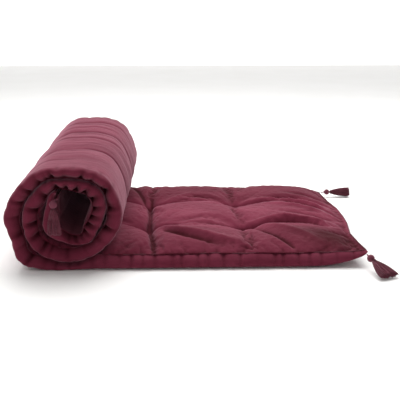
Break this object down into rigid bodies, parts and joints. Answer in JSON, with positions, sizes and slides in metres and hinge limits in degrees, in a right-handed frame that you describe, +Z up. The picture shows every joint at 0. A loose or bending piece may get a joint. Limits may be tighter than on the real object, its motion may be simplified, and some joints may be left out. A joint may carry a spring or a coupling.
{
  "type": "futon mattress",
  "caption": "Tufted velvet futon mattress, partly rolled up, with a tassel at each corner; the open tail folds and the tassels swing.",
  "frame": {"origin": "on the floor, under the middle of the whole object's bounding box, tassels included", "axes": "+X runs along the mattress from the roll to the open end; +Y across it, from the near side to the far side, along the roll's axis; +Z up"},
  "size_m": [0.867, 0.7032, 0.2394],
  "materials": {
    "top_panel": "plum cotton velvet with a short dense pile",
    "bottom_panel": "plum cotton velvet with a short dense pile, greyed where the pile lies over",
    "upper_batting": "loose cotton batting",
    "core_batting": "firm felted cotton batting",
    "lower_batting": "loose cotton batting",
    "tuft_tie_1a": "waxed cotton tufting thread",
    "tuft_tie_1b": "waxed cotton tufting thread",
    "tuft_tie_2a": "waxed cotton tufting thread",
    "tuft_tie_2b": "waxed cotton tufting thread",
    "tuft_tie_3a": "waxed cotton tufting thread",
    "tuft_tie_3b": "waxed cotton tufting thread",
    "tuft_tie_4a": "waxed cotton tufting thread",
    "tuft_tie_4b": "waxed cotton tufting thread",
    "tuft_tie_5a": "waxed cotton tufting thread",
    "tuft_tie_5b": "waxed cotton tufting thread",
    "tuft_tie_6a": "waxed cotton tufting thread",
    "tuft_tie_6b": "waxed cotton tufting thread",
    "tuft_tie_7a": "waxed cotton tufting thread",
    "tuft_tie_7b": "waxed cotton tufting thread",
    "top_panel_flap": "plum cotton velvet with a short dense pile",
    "bottom_panel_flap": "plum cotton velvet with a short dense pile, greyed where the pile lies over",
    "upper_batting_flap": "loose cotton batting",
    "core_batting_flap": "firm felted cotton batting",
    "lower_batting_flap": "loose cotton batting",
    "tassel_tail_near_cord": "twisted cotton cord",
    "tassel_tail_near_head": "matt cotton yarn",
    "tassel_tail_near_binding": "wound cotton thread",
    "tassel_tail_near_skirt": "matt cotton yarn",
    "tassel_tail_far_cord": "twisted cotton cord",
    "tassel_tail_far_head": "matt cotton yarn",
    "tassel_tail_far_binding": "wound cotton thread",
    "tassel_tail_far_skirt": "matt cotton yarn",
    "tassel_core_near_cord": "twisted cotton cord",
    "tassel_core_near_head": "matt cotton yarn",
    "tassel_core_near_binding": "wound cotton thread",
    "tassel_core_near_skirt": "matt cotton yarn",
    "tassel_core_far_cord": "twisted cotton cord",
    "tassel_core_far_head": "matt cotton yarn",
    "tassel_core_far_binding": "wound cotton thread",
    "tassel_core_far_skirt": "matt cotton yarn"
  },
  "bodies": {
    "roll": {"top_panel": "top_panel", "bottom_panel": "bottom_panel", "upper_batting": "upper_batting", "core_batting": "core_batting", "lower_batting": "lower_batting", "tuft_tie_1a": "tuft_tie_1a", "tuft_tie_1b": "tuft_tie_1b", "tuft_tie_2a": "tuft_tie_2a", "tuft_tie_2b": "tuft_tie_2b", "tuft_tie_3a": "tuft_tie_3a", "tuft_tie_3b": "tuft_tie_3b", "tuft_tie_4a": "tuft_tie_4a", "tuft_tie_4b": "tuft_tie_4b", "tuft_tie_5a": "tuft_tie_5a", "tuft_tie_5b": "tuft_tie_5b", "tuft_tie_6a": "tuft_tie_6a", "tuft_tie_6b": "tuft_tie_6b", "tuft_tie_7a": "tuft_tie_7a", "tuft_tie_7b": "tuft_tie_7b"},
    "flap": {"top_panel_flap": "top_panel_flap", "bottom_panel_flap": "bottom_panel_flap", "upper_batting_flap": "upper_batting_flap", "core_batting_flap": "core_batting_flap", "lower_batting_flap": "lower_batting_flap"},
    "tassel_tail_near_hanger": {"tassel_tail_near_cord": "tassel_tail_near_cord"},
    "tassel_tail_near": {"tassel_tail_near_head": "tassel_tail_near_head", "tassel_tail_near_binding": "tassel_tail_near_binding", "tassel_tail_near_skirt": "tassel_tail_near_skirt"},
    "tassel_tail_far_hanger": {"tassel_tail_far_cord": "tassel_tail_far_cord"},
    "tassel_tail_far": {"tassel_tail_far_head": "tassel_tail_far_head", "tassel_tail_far_binding": "tassel_tail_far_binding", "tassel_tail_far_skirt": "tassel_tail_far_skirt"},
    "tassel_core_near_hanger": {"tassel_core_near_cord": "tassel_core_near_cord"},
    "tassel_core_near": {"tassel_core_near_head": "tassel_core_near_head", "tassel_core_near_binding": "tassel_core_near_binding", "tassel_core_near_skirt": "tassel_core_near_skirt"},
    "tassel_core_far_hanger": {"tassel_core_far_cord": "tassel_core_far_cord"},
    "tassel_core_far": {"tassel_core_far_head": "tassel_core_far_head", "tassel_core_far_binding": "tassel_core_far_binding", "tassel_core_far_skirt": "tassel_core_far_skirt"}
  },
  "joints": [
    {"name": "tail_fold", "type": "hinge", "parent": "roll", "child": "flap", "pos_m": [0.09146, 0.0337, 0.038], "axis": [0, -1, 0], "range_deg": [0, 135]},
    {"name": "tassel_tail_near_swing", "type": "hinge", "parent": "flap", "child": "tassel_tail_near_hanger", "pos_m": [0.33246, -0.26658, 0.029], "axis": [0, 0, 1], "range_deg": [-40, 50]},
    {"name": "tassel_tail_near_lift", "type": "hinge", "parent": "tassel_tail_near_hanger", "child": "tassel_tail_near", "pos_m": [0.33215, -0.27287, 0.029], "axis": [-0.9086, -0.4177, 0], "range_deg": [0, 90]},
    {"name": "tassel_tail_far_swing", "type": "hinge", "parent": "flap", "child": "tassel_tail_far_hanger", "pos_m": [0.34946, 0.33282, 0.0135], "axis": [0, 0, 1], "range_deg": [-60, 60]},
    {"name": "tassel_tail_far_lift", "type": "hinge", "parent": "tassel_tail_far_hanger", "child": "tassel_tail_far", "pos_m": [0.35564, 0.33282, 0.01474], "axis": [0, -1, 0], "range_deg": [0, 90]},
    {"name": "tassel_core_near_swing", "type": "hinge", "parent": "roll", "child": "tassel_core_near_hanger", "pos_m": [-0.31888, -0.26658, 0.15712], "axis": [0, 1, 0], "range_deg": [-30, 30]},
    {"name": "tassel_core_near_lift", "type": "hinge", "parent": "tassel_core_near_hanger", "child": "tassel_core_near", "pos_m": [-0.32811, -0.27458, 0.15775], "axis": [-1, 0, 0], "range_deg": [0, 90]},
    {"name": "tassel_core_far_swing", "type": "hinge", "parent": "roll", "child": "tassel_core_far_hanger", "pos_m": [-0.31888, 0.33542, 0.17283], "axis": [0, 1, 0], "range_deg": [-30, 30]},
    {"name": "tassel_core_far_lift", "type": "hinge", "parent": "tassel_core_far_hanger", "child": "tassel_core_far", "pos_m": [-0.32811, 0.34342, 0.17346], "axis": [1, 0, 0], "range_deg": [0, 90]}
  ]
}
